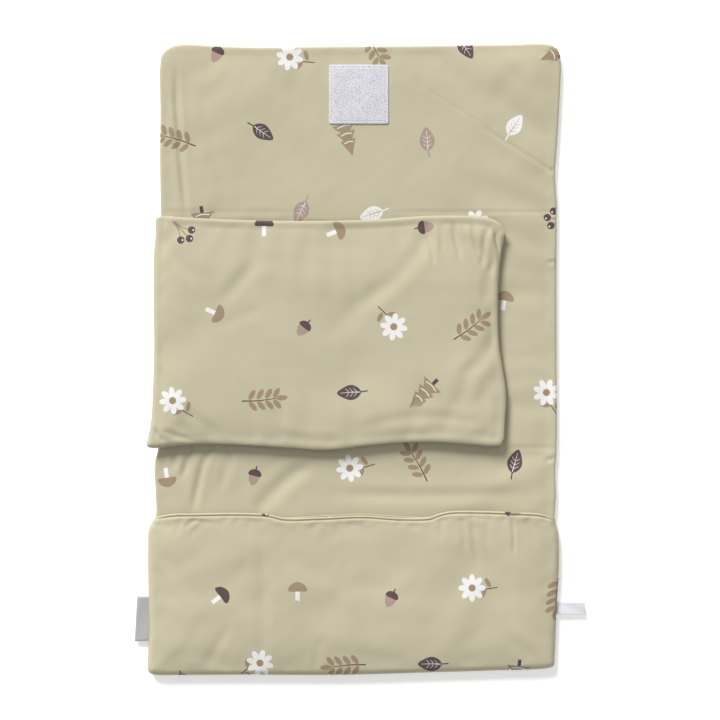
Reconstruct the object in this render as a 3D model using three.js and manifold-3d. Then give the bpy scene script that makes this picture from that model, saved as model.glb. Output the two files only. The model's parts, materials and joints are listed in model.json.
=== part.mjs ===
// A padded changing pad that folds in three, laid open and flat, in millimetres with +Z up.
// The origin is on the surface the pad lies on, under the middle of its outline. +X is to the
// right and +Y points to the closing flap. The pad has a middle panel, a closing flap beyond it,
// a pocket flap before it, and a pouch that lies on the middle panel and swings out to the left.
import * as THREE from 'three';
import { mergeVertices } from 'three/addons/utils/BufferGeometryUtils.js';
import Module from 'manifold-3d';

const wasm = await Module();
wasm.setup();

// Clearance between neighbours, and the two fabric layers that every wall is made of
const GAP = 0.3;
const FABRIC = 0.8;

// Pad outline: the sides are not quite parallel, because the soft pad never lies dead straight
const PAD_TOP = 285;
const PAD_BOTTOM = -281;
const PAD_TOP_LEFT = -179;
const PAD_TOP_RIGHT = 181;
const PAD_BOTTOM_LEFT = -187;
const PAD_BOTTOM_RIGHT = 175;
const PAD_TOP_RADIUS = 24;
const PAD_BOTTOM_RADIUS = 6;
const PAD_THICKNESS = 8;
const PAD_EDGE_ROUND = 3.4;

// Folds between the panels, and how far each foam insert stops short of a fold
const TOP_FOLD = 133;
const BOTTOM_FOLD = -79;
const FOLD_CLEARANCE = 0.5;
const FOAM_FOLD_CLEARANCE = 7;

// Hook and loop closure: two equal squares that meet when the pad is folded
const PATCH_SIZE = 54;
const PATCH_X = -1;
const LOOP_PATCH_Y = 239;
const LOOP_PATCH_THICKNESS = 1.4;
const HOOK_PATCH_THICKNESS = 1;
const THREAD_WIDTH = 0.8;
const THREAD_HEIGHT = 0.4;
const THREAD_INSET = 3;

// Fold-out pouch that lies on the middle panel, open along its +Y edge
const POUCH_TOP = 128.5;
const POUCH_BOTTOM = -77.5;
const POUCH_TOP_LEFT = -183;
const POUCH_BOTTOM_LEFT = -190.5;
const POUCH_RIGHT = 129;
const POUCH_THICKNESS = 10;
const POUCH_TOP_RIGHT_RADIUS = 6;
const POUCH_CORNER_RADIUS = 4;
const HEM_WIDTH = 8;
const HEM_THICKNESS = 1.5;
const HINGE_STRIP_LOW = 3;

// Full-width pocket on the bottom flap, open along its +Y edge; its sides wrap the pad's edges
const POCKET_MOUTH = -140;
const POCKET_BOTTOM = -285;
const POCKET_LEFT = -191;
const POCKET_RIGHT = 179;
const POCKET_DEPTH = 5.8;
const WELT_WIDTH = 3.5;
const WELT_THICKNESS = 2.4;

// Folded labels caught in the side seams of the bottom flap, both blank
const LABEL_SEAM_HEIGHT = 3.4;
const WOVEN_LABEL = { left: -203, right: POCKET_LEFT - GAP, low: -254, high: -213, thickness: 1.2 };
const CARE_LABEL = { left: POCKET_RIGHT + GAP, right: 203, low: -229, high: -218, thickness: 0.8 };

const SEAM_HEIGHT = PAD_THICKNESS / 2;
const BIG = 1000;

const COLOURS = {
  fabric: 0xc5bea0,
  foam: 0xf2f0ea,
  loop: 0xd6d5da,
  hook: 0xcfced2,
  thread: 0xe4e2dc,
  wovenLabel: 0xc9ccca,
  careLabel: 0xe6e4ea,
};

function fabricMaterial(colour, roughness = 0.7) {
  return new THREE.MeshStandardMaterial({ color: colour, roughness, metalness: 0 });
}

// A closed outline through corners given as [x, y, radius], anticlockwise
function outline(corners) {
  const shape = new THREE.Shape();
  corners.forEach(([x, y, radius], index) => {
    const corner = new THREE.Vector2(x, y);
    const before = new THREE.Vector2(...corners.at(index - 1).slice(0, 2));
    const after = new THREE.Vector2(...corners[(index + 1) % corners.length].slice(0, 2));
    const start = before.sub(corner).setLength(radius).add(corner);
    const end = after.sub(corner).setLength(radius).add(corner);
    if (index === 0) shape.moveTo(start.x, start.y);
    else shape.lineTo(start.x, start.y);
    shape.quadraticCurveTo(x, y, end.x, end.y);
  });
  shape.closePath();
  return shape;
}

// A plate with square edges between two heights
function plate(shape, low, high) {
  const geometry = new THREE.ExtrudeGeometry(shape, {
    depth: high - low, bevelEnabled: false, curveSegments: 6,
  });
  return geometry.translate(0, 0, low);
}

// A plate with rounded edges, drawn in from the outline by an inset
function roundedPlate(shape, low, high, round, inset = 0) {
  const geometry = new THREE.ExtrudeGeometry(shape, {
    depth: high - low - 2 * round,
    bevelThickness: round,
    bevelSize: round,
    bevelOffset: -round - inset,
    bevelSegments: 4,
    curveSegments: 6,
  });
  return geometry.translate(0, 0, low + round);
}

function box(x0, x1, y0, y1, z0, z1) {
  const geometry = new THREE.BoxGeometry(x1 - x0, y1 - y0, z1 - z0);
  return geometry.translate((x0 + x1) / 2, (y0 + y1) / 2, (z0 + z1) / 2);
}

// A thin upright wall along the line from one point to another, its thickness to the left
function wall(from, to, thickness, low, high) {
  const start = new THREE.Vector2(...from);
  const end = new THREE.Vector2(...to);
  const along = end.clone().sub(start).normalize();
  const across = new THREE.Vector2(-along.y, along.x).multiplyScalar(thickness);
  const shape = new THREE.Shape([start, end, end.clone().add(across), start.clone().add(across)]);
  return plate(shape, low, high);
}

// Booleans: a geometry becomes a solid, is cut, and becomes a geometry again
function toSolid(geometry) {
  const bare = geometry.clone();
  bare.deleteAttribute('normal');
  bare.deleteAttribute('uv');
  const merged = mergeVertices(bare.index ? bare.toNonIndexed() : bare);
  return new wasm.Manifold(new wasm.Mesh({
    numProp: 3,
    vertProperties: new Float32Array(merged.attributes.position.array),
    triVerts: new Uint32Array(merged.index.array),
  }));
}

function toGeometry(solid) {
  const mesh = solid.getMesh();
  const geometry = new THREE.BufferGeometry();
  geometry.setAttribute('position', new THREE.BufferAttribute(mesh.vertProperties, 3));
  geometry.setIndex(new THREE.BufferAttribute(mesh.triVerts, 1));
  const flat = geometry.toNonIndexed();
  flat.computeVertexNormals();
  return flat;
}

const object = new THREE.Group();

function add(name, geometry, colour, roughness) {
  const mesh = new THREE.Mesh(geometry, fabricMaterial(colour, roughness));
  mesh.name = name;
  object.add(mesh);
}

// Padded panels: a foam insert between a front and a back cover that meet at the side seam
const padShape = outline([
  [PAD_TOP_LEFT, PAD_TOP, PAD_TOP_RADIUS],
  [PAD_BOTTOM_LEFT, PAD_BOTTOM, PAD_BOTTOM_RADIUS],
  [PAD_BOTTOM_RIGHT, PAD_BOTTOM, PAD_BOTTOM_RADIUS],
  [PAD_TOP_RIGHT, PAD_TOP, PAD_TOP_RADIUS],
]);

const lining = FABRIC + GAP;
const padBody = toSolid(roundedPlate(padShape, 0, PAD_THICKNESS, PAD_EDGE_ROUND));
const padHollow = toSolid(roundedPlate(
  padShape, FABRIC, PAD_THICKNESS - FABRIC, PAD_EDGE_ROUND - FABRIC, FABRIC,
));
const padFoam = toSolid(roundedPlate(
  padShape, lining, PAD_THICKNESS - lining, PAD_EDGE_ROUND - lining, lining,
));
const padSkin = padBody.subtract(padHollow);

// The hook patch sits in a dimple of the back cover, so that the pad still lies flat
const hookPatchY = 2 * BOTTOM_FOLD - (2 * TOP_FOLD - LOOP_PATCH_Y);
const hookDepth = THREAD_HEIGHT + GAP + HOOK_PATCH_THICKNESS + GAP;

function patchBox(centreY, margin, low, high) {
  const half = PATCH_SIZE / 2 + margin;
  return box(PATCH_X - half, PATCH_X + half, centreY - half, centreY + half, low, high);
}

const dimpleHollow = toSolid(patchBox(hookPatchY, GAP, -1, hookDepth));
const dimpleBody = toSolid(patchBox(hookPatchY, GAP + FABRIC, 0, hookDepth + FABRIC));
const dimpleRoom = toSolid(patchBox(hookPatchY, lining + GAP, -1, hookDepth + lining));

function addPanel(name, low, high, hasDimple = false) {
  const front = toSolid(box(-BIG, BIG, low, high, SEAM_HEIGHT + GAP / 2, BIG));
  const back = toSolid(box(-BIG, BIG, low, high, -BIG, SEAM_HEIGHT - GAP / 2));
  const foamLow = low + (low === -BIG ? 0 : FOAM_FOLD_CLEARANCE);
  const foamHigh = high - (high === BIG ? 0 : FOAM_FOLD_CLEARANCE);
  let foam = padFoam.intersect(toSolid(box(-BIG, BIG, foamLow, foamHigh, -BIG, BIG)));
  let backCover = padSkin.intersect(back);
  if (hasDimple) {
    foam = foam.subtract(dimpleRoom);
    backCover = backCover.add(dimpleBody).subtract(dimpleHollow);
  }
  add(`${name}_foam`, toGeometry(foam), COLOURS.foam, 0.9);
  add(`${name}_front_cover`, toGeometry(padSkin.intersect(front)), COLOURS.fabric);
  add(`${name}_back_cover`, toGeometry(backCover), COLOURS.fabric);
}

addPanel('top_flap', TOP_FOLD + FOLD_CLEARANCE, BIG);
addPanel('middle_panel', BOTTOM_FOLD + FOLD_CLEARANCE, TOP_FOLD - FOLD_CLEARANCE);
addPanel('bottom_flap', -BIG, BOTTOM_FOLD - FOLD_CLEARANCE, true);

// Closure patches, each sewn down by a square of thread
function threadSquare(centreY, low) {
  const outer = toSolid(patchBox(centreY, -THREAD_INSET, low, low + THREAD_HEIGHT));
  const inner = toSolid(patchBox(centreY, -THREAD_INSET - THREAD_WIDTH, low - 1, low + 1));
  return toGeometry(outer.subtract(inner));
}

const loopLow = PAD_THICKNESS + GAP;
const loopHigh = loopLow + LOOP_PATCH_THICKNESS;
add('loop_patch', patchBox(LOOP_PATCH_Y, 0, loopLow, loopHigh), COLOURS.loop, 0.95);
add('loop_patch_thread', threadSquare(LOOP_PATCH_Y, loopHigh + GAP), COLOURS.thread);

const hookLow = THREAD_HEIGHT + GAP;
const hookHigh = hookLow + HOOK_PATCH_THICKNESS;
add('hook_patch', patchBox(hookPatchY, 0, hookLow, hookHigh), COLOURS.hook, 0.6);
add('hook_patch_thread', threadSquare(hookPatchY, 0), COLOURS.thread);

// Fold-out pouch: two flat walls with hemmed mouths, three narrow side walls, and its strip
const pouchLow = PAD_THICKNESS + GAP;
const pouchHigh = pouchLow + POUCH_THICKNESS;
const hemLow = POUCH_TOP - HEM_WIDTH;
const pouchSlope = (POUCH_TOP_LEFT - POUCH_BOTTOM_LEFT) / (POUCH_TOP - POUCH_BOTTOM);

function pouchLeft(y) {
  return POUCH_BOTTOM_LEFT + (y - POUCH_BOTTOM) * pouchSlope;
}

const pouchWallShape = outline([
  [pouchLeft(hemLow - GAP), hemLow - GAP, 1],
  [POUCH_BOTTOM_LEFT, POUCH_BOTTOM, POUCH_CORNER_RADIUS],
  [POUCH_RIGHT, POUCH_BOTTOM, POUCH_CORNER_RADIUS],
  [POUCH_RIGHT, hemLow - GAP, 1],
]);
const pouchHemShape = outline([
  [POUCH_TOP_LEFT, POUCH_TOP, 1],
  [pouchLeft(hemLow), hemLow, 1],
  [POUCH_RIGHT, hemLow, 1],
  [POUCH_RIGHT, POUCH_TOP, POUCH_TOP_RIGHT_RADIUS],
]);

add('pouch_front_wall', plate(pouchWallShape, pouchHigh - FABRIC, pouchHigh), COLOURS.fabric);
add('pouch_front_hem', plate(pouchHemShape, pouchHigh - HEM_THICKNESS, pouchHigh), COLOURS.fabric);
add('pouch_back_wall', plate(pouchWallShape, pouchLow, pouchLow + FABRIC), COLOURS.fabric);
add('pouch_back_hem', plate(pouchHemShape, pouchLow, pouchLow + HEM_THICKNESS), COLOURS.fabric);

const sideLow = pouchLow + HEM_THICKNESS + GAP;
const sideHigh = pouchHigh - HEM_THICKNESS - GAP;
const cornerRoom = POUCH_CORNER_RADIUS + 1;
add('pouch_left_side', wall(
  [pouchLeft(POUCH_BOTTOM + cornerRoom) + FABRIC, POUCH_BOTTOM + cornerRoom],
  [POUCH_TOP_LEFT + FABRIC, POUCH_TOP], FABRIC, sideLow, sideHigh,
), COLOURS.fabric);
add('pouch_right_side', wall(
  [POUCH_RIGHT, POUCH_BOTTOM + cornerRoom],
  [POUCH_RIGHT, POUCH_TOP - HEM_WIDTH], FABRIC, sideLow, sideHigh,
), COLOURS.fabric);
add('pouch_bottom_side', wall(
  [POUCH_BOTTOM_LEFT + cornerRoom, POUCH_BOTTOM],
  [POUCH_RIGHT - cornerRoom, POUCH_BOTTOM], FABRIC, sideLow, sideHigh,
), COLOURS.fabric);

function padLeft(y) {
  const slope = (PAD_TOP_LEFT - PAD_BOTTOM_LEFT) / (PAD_TOP - PAD_BOTTOM);
  return PAD_BOTTOM_LEFT + (y - PAD_BOTTOM) * slope;
}

const stripLow = BOTTOM_FOLD + POUCH_CORNER_RADIUS;
const stripHigh = TOP_FOLD - POUCH_CORNER_RADIUS;
add('pouch_hinge_strip', wall(
  [padLeft(stripLow) - GAP, stripLow],
  [padLeft(stripHigh) - GAP, stripHigh], FABRIC, HINGE_STRIP_LOW, PAD_THICKNESS - GAP,
), COLOURS.fabric);

// Bottom pocket: a lined front wall with a welt along its mouth, and three turned-down edges
const liningLow = PAD_THICKNESS + POCKET_DEPTH;
const outerLow = liningLow + FABRIC + GAP;
const wallTop = POCKET_MOUTH - WELT_WIDTH - GAP;

function pocketShape(inset, top) {
  return outline([
    [POCKET_LEFT + inset, top, 1],
    [POCKET_LEFT + inset, POCKET_BOTTOM + inset, PAD_BOTTOM_RADIUS],
    [POCKET_RIGHT - inset, POCKET_BOTTOM + inset, PAD_BOTTOM_RADIUS],
    [POCKET_RIGHT - inset, top, 1],
  ]);
}

const sideInset = FABRIC + GAP;
add('pocket_front_wall', plate(pocketShape(0, wallTop), outerLow, outerLow + FABRIC),
  COLOURS.fabric);
add('pocket_lining', plate(pocketShape(sideInset, wallTop), liningLow, liningLow + FABRIC),
  COLOURS.fabric);
add('pocket_welt', box(
  POCKET_LEFT, POCKET_RIGHT, POCKET_MOUTH - WELT_WIDTH, POCKET_MOUTH,
  liningLow, liningLow + WELT_THICKNESS,
), COLOURS.fabric);

const edgeHigh = outerLow - GAP;
const edgeEnd = POCKET_BOTTOM + PAD_BOTTOM_RADIUS + 1;
add('pocket_left_edge', wall(
  [POCKET_LEFT + FABRIC, edgeEnd], [POCKET_LEFT + FABRIC, wallTop], FABRIC,
  SEAM_HEIGHT, edgeHigh,
), COLOURS.fabric);
add('pocket_right_edge', wall(
  [POCKET_RIGHT, edgeEnd], [POCKET_RIGHT, wallTop], FABRIC, SEAM_HEIGHT, edgeHigh,
), COLOURS.fabric);
add('pocket_bottom_edge', wall(
  [POCKET_LEFT + PAD_BOTTOM_RADIUS + 1, POCKET_BOTTOM],
  [POCKET_RIGHT - PAD_BOTTOM_RADIUS - 1, POCKET_BOTTOM], FABRIC, SEAM_HEIGHT, edgeHigh,
), COLOURS.fabric);

// Blank labels
function addLabel(name, label, colour) {
  const high = LABEL_SEAM_HEIGHT + label.thickness;
  add(name, box(
    label.left, label.right, label.low, label.high, LABEL_SEAM_HEIGHT, high,
  ), colour, 0.6);
}

addLabel('woven_label', WOVEN_LABEL, COLOURS.wovenLabel);
addLabel('care_label', CARE_LABEL, COLOURS.careLabel);

export default object;
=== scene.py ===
"""Looks of a padded changing pad with a fold-out pouch and a full-width pocket, laid open.

Lengths are in millimetres until a mesh is made. Plan positions are (x, y) with +Y at the closing flap.
"""
import json
import math

import bpy
import numpy as np
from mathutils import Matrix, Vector
from mathutils.geometry import delaunay_2d_cdt
from mathutils.kdtree import KDTree


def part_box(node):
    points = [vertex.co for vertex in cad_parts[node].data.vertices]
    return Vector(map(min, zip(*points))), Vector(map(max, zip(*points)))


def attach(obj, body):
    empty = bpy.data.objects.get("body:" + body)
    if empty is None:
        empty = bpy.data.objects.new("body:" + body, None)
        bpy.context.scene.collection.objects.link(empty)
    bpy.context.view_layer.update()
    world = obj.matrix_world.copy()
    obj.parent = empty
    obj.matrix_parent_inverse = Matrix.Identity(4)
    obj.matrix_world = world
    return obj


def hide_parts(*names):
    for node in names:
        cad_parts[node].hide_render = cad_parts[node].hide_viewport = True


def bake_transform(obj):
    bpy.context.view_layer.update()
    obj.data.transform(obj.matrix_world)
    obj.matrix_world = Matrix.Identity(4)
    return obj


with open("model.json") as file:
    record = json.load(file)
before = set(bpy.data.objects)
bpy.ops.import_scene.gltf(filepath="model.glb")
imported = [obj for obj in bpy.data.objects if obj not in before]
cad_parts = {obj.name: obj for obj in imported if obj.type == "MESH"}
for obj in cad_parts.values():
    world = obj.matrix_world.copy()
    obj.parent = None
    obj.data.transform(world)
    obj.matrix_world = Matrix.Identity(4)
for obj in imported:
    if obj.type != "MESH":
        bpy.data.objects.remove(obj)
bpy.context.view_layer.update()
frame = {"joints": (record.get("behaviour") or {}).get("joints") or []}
MM = 0.001


def node_box(*nodes):
    """Lowest and highest corner of some CAD nodes together, in millimetres."""
    corners = np.array([[list(corner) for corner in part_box(node)] for node in nodes]) / MM
    return corners[:, 0].min(0), corners[:, 1].max(0)


def fold_line(name):
    """Where a flap's fold crosses the pad."""
    joint = next(joint for joint in frame["joints"] if joint["name"] == name)
    return joint["pos_m"][1] / MM


# Boxes, heights and lines that the frame gives
PAD_LOW, PAD_HIGH = node_box("middle_panel_back_cover", "middle_panel_front_cover")
POUCH_LOW, POUCH_HIGH = node_box("pouch_back_wall", "pouch_front_wall")
POCKET_TOP = node_box("pocket_bottom_edge", "pocket_front_wall")[1][2]
PAD_SEAM = (PAD_LOW[2] + PAD_HIGH[2]) / 2
POUCH_SEAM = (POUCH_LOW[2] + POUCH_HIGH[2]) / 2
TOP_FOLD = fold_line("top_flap_fold")
BOTTOM_FOLD = fold_line("bottom_flap_fold")
# The line under the pouch where the cover's two lengths meet
COVER_SPLIT = 25
# How far each side of a fold the fold's zone reaches
FOLD_REACH = 14
# Cloth is drawn this thick where both of its faces show
CLOTH_THICKNESS = 0.7

# The pad's sewn outline, anticlockwise from its far left corner. Cloth never lies dead straight.
PAD_OUTLINE = [
    (-158, 284.8), (-171, 282.2), (-178.6, 275.5), (-180.5, 264), (-180.2, 225), (-180.6, 185),
    (-179.8, 120), (-180.6, 40), (-181.2, -40), (-182.2, -80), (-185.4, -94), (-184.6, -118),
    (-184.2, -139), (-186.6, -145.5), (-189.6, -151.5), (-190.4, -166), (-190.2, -205),
    (-189.4, -247), (-190.8, -272), (-190.6, -279.5), (-187.6, -282.4), (-160, -283.2),
    (-105, -283), (-20, -283.2), (60, -281), (120, -279.2), (168, -277.2), (174, -275.2),
    (175, -266), (176.2, -235), (178.4, -195), (178.8, -168), (177.9, -155), (175.6, -146),
    (176.8, -122), (176.3, -101), (177.6, -80), (177.4, 0), (177.2, 84), (177.5, 140),
    (176.1, 166), (178.2, 200), (180.4, 240), (181.2, 268), (179.2, 279), (172, 284.2),
    (130, 284.4), (60, 283.5), (-20, 282.9), (-95, 282.1), (-130, 283.2),
]

# The pouch's sewn edge from the left end of its mouth round to the right end, and its mouth back
POUCH_SEWN = [
    (-183.6, 126.6), (-183.6, 114), (-185.1, 96), (-185.4, 55), (-185, 8), (-186.2, -30),
    (-187.6, -54), (-190.2, -68), (-191.4, -77.4), (-186, -79.3), (-168, -77.6), (-142, -75.5),
    (-98, -77), (-62, -79.2), (-30, -81.1), (6, -77), (42, -74.2), (70, -74), (104, -76.4),
    (120, -77.6), (126.6, -76.2), (128.9, -71.5), (129.8, -59), (131.4, -31), (129.2, -12), (125.2, 14),
    (124.1, 42), (124.8, 74), (127.2, 96), (130, 109),
]
POUCH_MOUTH = [
    (130, 109), (129.4, 116), (125.6, 122), (118.5, 126), (104, 128.5), (82, 129.2), (52, 128.5),
    (16, 125.8), (-36, 124.4), (-90, 124.8), (-130, 126.1), (-158, 127.6), (-176, 128.6),
    (-183.6, 126.6),
]

# The pocket's mouth, from the right edge of the pad to its left edge
POCKET_MOUTH = [
    (176.4, -142.9), (163, -138.3), (136, -136.5), (106, -135.4), (80, -135.8), (69, -138.5),
    (62, -141), (36, -141.5), (2, -139.4), (-36, -141), (-68, -141.5), (-82, -138.4),
    (-105, -137.2), (-150, -137.7), (-168, -138.2), (-185.2, -141.2),
]

# -------- curves and regions in the plan


def spread(line, step):
    """The same line with points an even step apart."""
    arc = np.concatenate([[0], np.cumsum(np.hypot(*np.diff(line, axis=0).T))])
    count = max(2, int(round(arc[-1] / step)) + 1)
    places = np.linspace(0, arc[-1], count)
    return np.column_stack([np.interp(places, arc, column) for column in line.T])


def spline(points, step, closed=False):
    """A smooth curve through points (centripetal Catmull-Rom), as an evenly stepped line."""
    knots = np.array(points, float)
    if closed:
        knots = np.vstack([knots[-1:], knots, knots[:2]])
    else:
        knots = np.vstack([2 * knots[:1] - knots[1:2], knots, 2 * knots[-1:] - knots[-2:-1]])
    stretches = []
    for a, b, c, d in zip(knots, knots[1:], knots[2:], knots[3:]):
        gaps = [math.sqrt(np.linalg.norm(v)) for v in (b - a, c - b, d - c)]
        k0, k1, k2, k3 = np.cumsum([0, *gaps])
        t = np.linspace(k1, k2, 16, endpoint=False)[:, None]

        def between(p, q, start, end):
            return ((end - t) * p + (t - start) * q) / (end - start)

        ab, bc, cd = between(a, b, k0, k1), between(b, c, k1, k2), between(c, d, k2, k3)
        stretches.append(between(between(ab, bc, k0, k2), between(bc, cd, k1, k3), k1, k2))
    stretches.append(knots[-2:-1])
    return spread(np.vstack(stretches), step)


def left_of(line):
    """Unit vectors to the left of a line at each of its points: inward on an anticlockwise one."""
    run = np.gradient(line, axis=0)
    if np.allclose(line[0], line[-1]):
        run[0] = run[-1] = line[1] - line[-2]
    run /= np.linalg.norm(run, axis=1)[:, None]
    return np.column_stack([-run[:, 1], run[:, 0]])


def beside(line, insets):
    """Copies of a line, each moved inward by an inset."""
    inward = left_of(line)
    return [line + inward * inset for inset in insets]


def point_tree(points):
    """A search tree over plan points."""
    tree = KDTree(len(points))
    for index, place in enumerate(points):
        tree.insert((*place, 0), index)
    tree.balance()
    return tree


def nearest(points, line):
    """Each point's distance to an evenly stepped line, and how far along the line that is."""
    tree = point_tree(line)
    closest = np.array([tree.find((x, y, 0))[1] for x, y in points], int)
    spans = len(line) - 1
    closed = np.allclose(line[0], line[-1])
    lengths = np.hypot(*np.diff(line, axis=0).T)
    arc = np.concatenate([[0], np.cumsum(lengths)])
    distance, along = np.full(len(points), 1e9), np.zeros(len(points))
    for shift in (-1, 0):
        start = (closest + shift) % spans if closed else np.clip(closest + shift, 0, spans - 1)
        run = line[start + 1] - line[start]
        offset = points - line[start]
        share = np.clip((offset * run).sum(1) / (run ** 2).sum(1), 0, 1)
        gap = np.hypot(*(offset - share[:, None] * run).T)
        closer = gap < distance
        distance[closer] = gap[closer]
        along[closer] = (arc[start] + share * lengths[start])[closer]
    return distance, along


def inside(points, polygon):
    """Which points lie inside a polygon."""
    hit = np.zeros(len(points), bool)
    x, y = points.T
    for (ax, ay), (bx, by) in zip(polygon, np.roll(polygon, -1, 0)):
        if ay != by:
            hit ^= ((ay > y) != (by > y)) & (x < ax + (y - ay) * (bx - ax) / (by - ay))
    return hit


def smoothstep(value):
    """0 below 0, 1 above 1, and a smooth step between."""
    t = np.clip(value, 0, 1)
    return t * t * (3 - 2 * t)


def bell(value):
    """1 at 0, falling away smoothly on both sides."""
    return np.exp(-value ** 2)


def roll(distance, radius):
    """Height share of a cloth edge that rolls over: 0 at the seam, 1 from the radius inward."""
    t = np.clip(distance / radius, 0, 1)
    return np.sqrt(1 - (1 - t) ** 2)


# -------- cloth as triangles

# A grid triangle's height as a share of its side
GRID_RISE = 0.866
# A crease narrower than this gets mesh points of its own
FINE_WIDTH = 3.1


def level_line(xs, y):
    """Points at some xs, all at one y."""
    return np.column_stack([xs, np.full(len(xs), y)])


def grid_points(outline, pitch):
    """Points of a triangular grid inside an outline."""
    low, high = outline.min(0), outline.max(0)
    rows = []
    for row in range(int((high[1] - low[1]) / (pitch * GRID_RISE)) + 1):
        start = low[0] + pitch * (0.25 + 0.5 * (row % 2))
        rows.append(level_line(np.arange(start, high[0], pitch), low[1] + row * pitch * GRID_RISE))
    grid = np.vstack(rows)
    return grid[inside(grid, outline)]


def inked(middle, prints):
    """The ink at each triangle's middle, from the last printed shape that holds it."""
    ink = np.zeros(len(middle), int)
    for shade, polygon in prints:
        low, high = polygon.min(0), polygon.max(0)
        near = np.nonzero(((middle > low) & (middle < high)).all(1))[0]
        ink[near[inside(middle[near], polygon)]] = shade
    return ink


def cut_cloth(rim, cut=None, insets=(), pitch=4, rows=(), prints=(), fine=()):
    """A flat piece of cloth as (plan points, triangles, ink of each triangle).

    rim is its sewn or finished edge and cut the line that closes it, if it isn't closed.
    insets are distances of extra lines of points beside the rim, and rows more point lines.
    prints are (ink, polygon) pairs, the later ones on top, and fine is the creases that may
    be too narrow for the grid."""
    outline = rim[:-1] if cut is None else np.vstack([rim[:-1], cut[:-1]])
    closed = np.vstack([outline, outline[:1]])
    rings = [ring[nearest(ring, rim)[0] > 0.9 * inset] for ring, inset in zip(beside(rim, insets), insets)]
    extra = [crease.points() for crease in fine if crease.width < FINE_WIDTH]
    edging = np.vstack([*rings, *rows, *extra])
    edging = edging[inside(edging, outline)]
    edging = edging[nearest(edging, closed)[0] > 0.15]
    grid = grid_points(outline, pitch)
    grid = grid[nearest(grid, closed)[0] > 0.6 * pitch]
    if insets:
        grid = grid[nearest(grid, rim)[0] > max(insets) + 0.5 * pitch]
    for row in rows:
        grid = grid[nearest(grid, row)[0] > 0.45 * pitch]
    if extra:
        tree = point_tree(np.vstack(extra))
        grid = grid[[tree.find((x, y, 0))[2] > 0.4 * pitch for x, y in grid]]
    points, edges = [outline, edging, grid], []
    base = len(outline) + len(edging) + len(grid)
    for _, polygon in prints:
        count = len(polygon)
        points.append(polygon)
        edges += [(base + i, base + (i + 1) % count) for i in range(count)]
        base += count
    corners = [Vector(point) for point in np.vstack(points)]
    found = delaunay_2d_cdt(corners, edges, [list(range(len(outline)))], 1, 1e-4, False)
    plan = np.array([tuple(point) for point in found[0]])
    triangles = np.array([face for face in found[2] if len(face) == 3])
    triangles = triangles[inside(plan[triangles].mean(1), outline)]
    ink = inked(plan[triangles].mean(1), prints)
    used, triangles = np.unique(triangles, return_inverse=True)
    return plan[used], triangles.reshape(-1, 3), ink


def lift(flat, height):
    """A flat piece of cloth raised to its heights: (vertices, triangles, ink)."""
    plan, triangles, ink = flat
    return np.column_stack([plan, height(plan)]), triangles, ink


def flipped(cloth):
    """The same cloth facing the other way."""
    return cloth[0], cloth[1][:, ::-1], cloth[2]


def joined(*cloths):
    """Several cloths as one mesh, welded where their vertices meet."""
    offsets = np.cumsum([0, *(len(cloth[0]) for cloth in cloths)])
    vertices = np.vstack([cloth[0] for cloth in cloths])
    triangles = np.vstack([cloth[1] + offset for cloth, offset in zip(cloths, offsets)])
    ink = np.concatenate([cloth[2] for cloth in cloths])
    _, first, place = np.unique(
        np.round(vertices * 1000).astype(np.int64), axis=0, return_index=True, return_inverse=True)
    triangles = place.reshape(-1)[triangles]
    whole = (triangles != np.roll(triangles, 1, axis=1)).all(1)
    return vertices[first], triangles[whole], ink[whole]


def open_edges(triangles):
    """Edges that only one triangle has, in that triangle's direction."""
    count = triangles.max() + 1
    runs = np.vstack([triangles[:, [0, 1]], triangles[:, [1, 2]], triangles[:, [2, 0]]])
    codes, reverse = runs[:, 0] * count + runs[:, 1], runs[:, 1] * count + runs[:, 0]
    return runs[~np.isin(codes, reverse)]


def facing(vertices, triangles):
    """Unit normals at the vertices."""
    a, b, c = (vertices[triangles[:, i]] for i in range(3))
    areas = np.cross(b - a, c - a)
    normals = np.zeros_like(vertices)
    for i in range(3):
        np.add.at(normals, triangles[:, i], areas)
    return normals / np.maximum(np.linalg.norm(normals, axis=1), 1e-12)[:, None]


def thickened(cloth, depth):
    """Cloth with a real thickness behind its face and a rounded cut edge."""
    vertices, triangles, ink = cloth
    normals = facing(vertices, triangles)
    edges = open_edges(triangles)
    out = np.zeros_like(vertices)
    across = np.cross(vertices[edges[:, 1]] - vertices[edges[:, 0]], normals[edges[:, 0]])
    across /= np.maximum(np.linalg.norm(across, axis=1), 1e-12)[:, None]
    np.add.at(out, edges[:, 0], across)
    np.add.at(out, edges[:, 1], across)
    out /= np.maximum(np.linalg.norm(out, axis=1), 1e-12)[:, None]
    rim = np.unique(edges)
    count = len(vertices)
    spot = np.full(count, -1)
    spot[rim] = 2 * count + np.arange(len(rim))
    middle = vertices[rim] - normals[rim] * depth / 2 + out[rim] * depth * 0.5
    a, b = edges.T
    sides = []
    for upper_a, upper_b, lower_a, lower_b in ((a, b, spot[a], spot[b]),
                                               (spot[a], spot[b], a + count, b + count)):
        sides.append(np.column_stack([upper_b, upper_a, lower_a]))
        sides.append(np.column_stack([upper_b, lower_a, lower_b]))
    sides = np.vstack(sides)
    return (np.vstack([vertices, vertices - normals * depth, middle]),
            np.vstack([triangles, triangles[:, ::-1] + count, sides]),
            np.concatenate([ink, np.zeros(len(ink) + len(sides), int)]))


def grid_cloth(rows):
    """Cloth from equally long rows of points, rows running to the left of each other."""
    rows = np.array(rows)
    count, length = rows.shape[:2]
    index = np.arange(count * length).reshape(count, length)
    a, b, c, d = index[:-1, :-1], index[:-1, 1:], index[1:, 1:], index[1:, :-1]
    triangles = np.vstack([np.column_stack([p.ravel() for p in corner])
                           for corner in ((a, b, c), (a, c, d))])
    return rows.reshape(-1, 3), triangles, np.zeros(len(triangles), int)


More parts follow.
